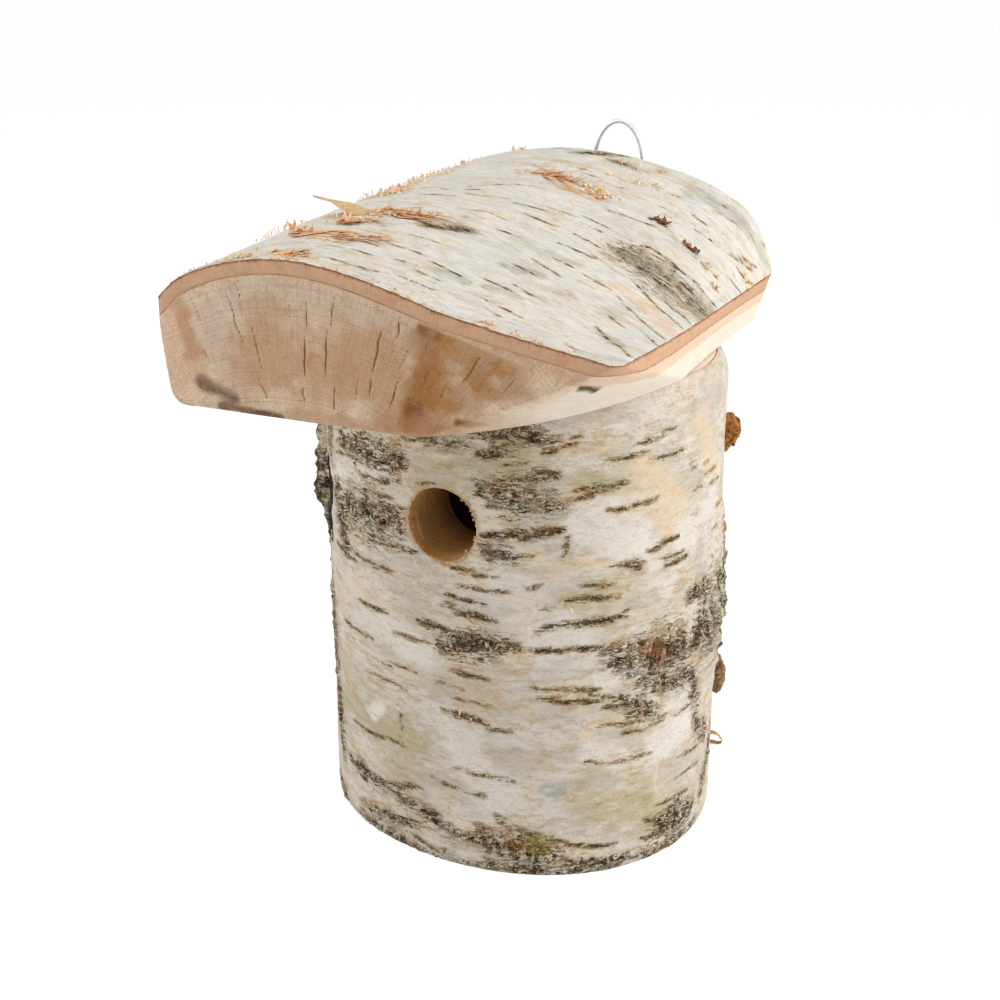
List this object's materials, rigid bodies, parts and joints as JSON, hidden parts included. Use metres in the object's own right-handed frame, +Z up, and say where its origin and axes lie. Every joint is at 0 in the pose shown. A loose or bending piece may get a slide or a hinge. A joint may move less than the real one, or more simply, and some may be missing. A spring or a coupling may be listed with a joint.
{
  "type": "bird nest box",
  "caption": "Hollow birch log nest box with a round entrance, a let-in floor, a thick arched bark-covered roof that swivels open and a wire hanging loop at the back.",
  "frame": {"origin": "centre of the log's foot, on the log's axis, at the level the box stands on", "axes": "+Z up along the log, -Y out through the entrance hole, +X to the right of someone who faces the entrance"},
  "size_m": [0.1911, 0.2441, 0.3036],
  "materials": {
    "log_wood": "raw bored wood",
    "log_bark": "white birch bark with dark streaks and rough patches",
    "floor_wood": "raw sawn wood",
    "screw_steel": "yellow zinc plated",
    "pin_steel": "bright drawn steel",
    "galvanised_wire": "galvanised wire",
    "roof_wood": "sanded end grain and sawn side wood",
    "roof_bark": "white birch bark with fine dark lines"
  },
  "bodies": {
    "log": {"log_body": "log_wood", "log_bark": "log_bark", "floor_disc": "floor_wood", "floor_screw_1": "screw_steel", "floor_screw_2": "screw_steel", "floor_screw_3": "screw_steel", "floor_screw_4": "screw_steel", "roof_pivot_pin": "pin_steel", "hanger_wire": "galvanised_wire", "hanger_staple_left": "galvanised_wire", "hanger_staple_right": "galvanised_wire"},
    "roof": {"roof_slab": "roof_wood", "roof_bark": "roof_bark"}
  },
  "joints": [
    {"name": "roof_swivel", "type": "hinge", "parent": "log", "child": "roof", "pos_m": [0.04745, 0.04745, 0.2175], "axis": [0, 0, 1], "range_deg": [0, 90]}
  ]
}
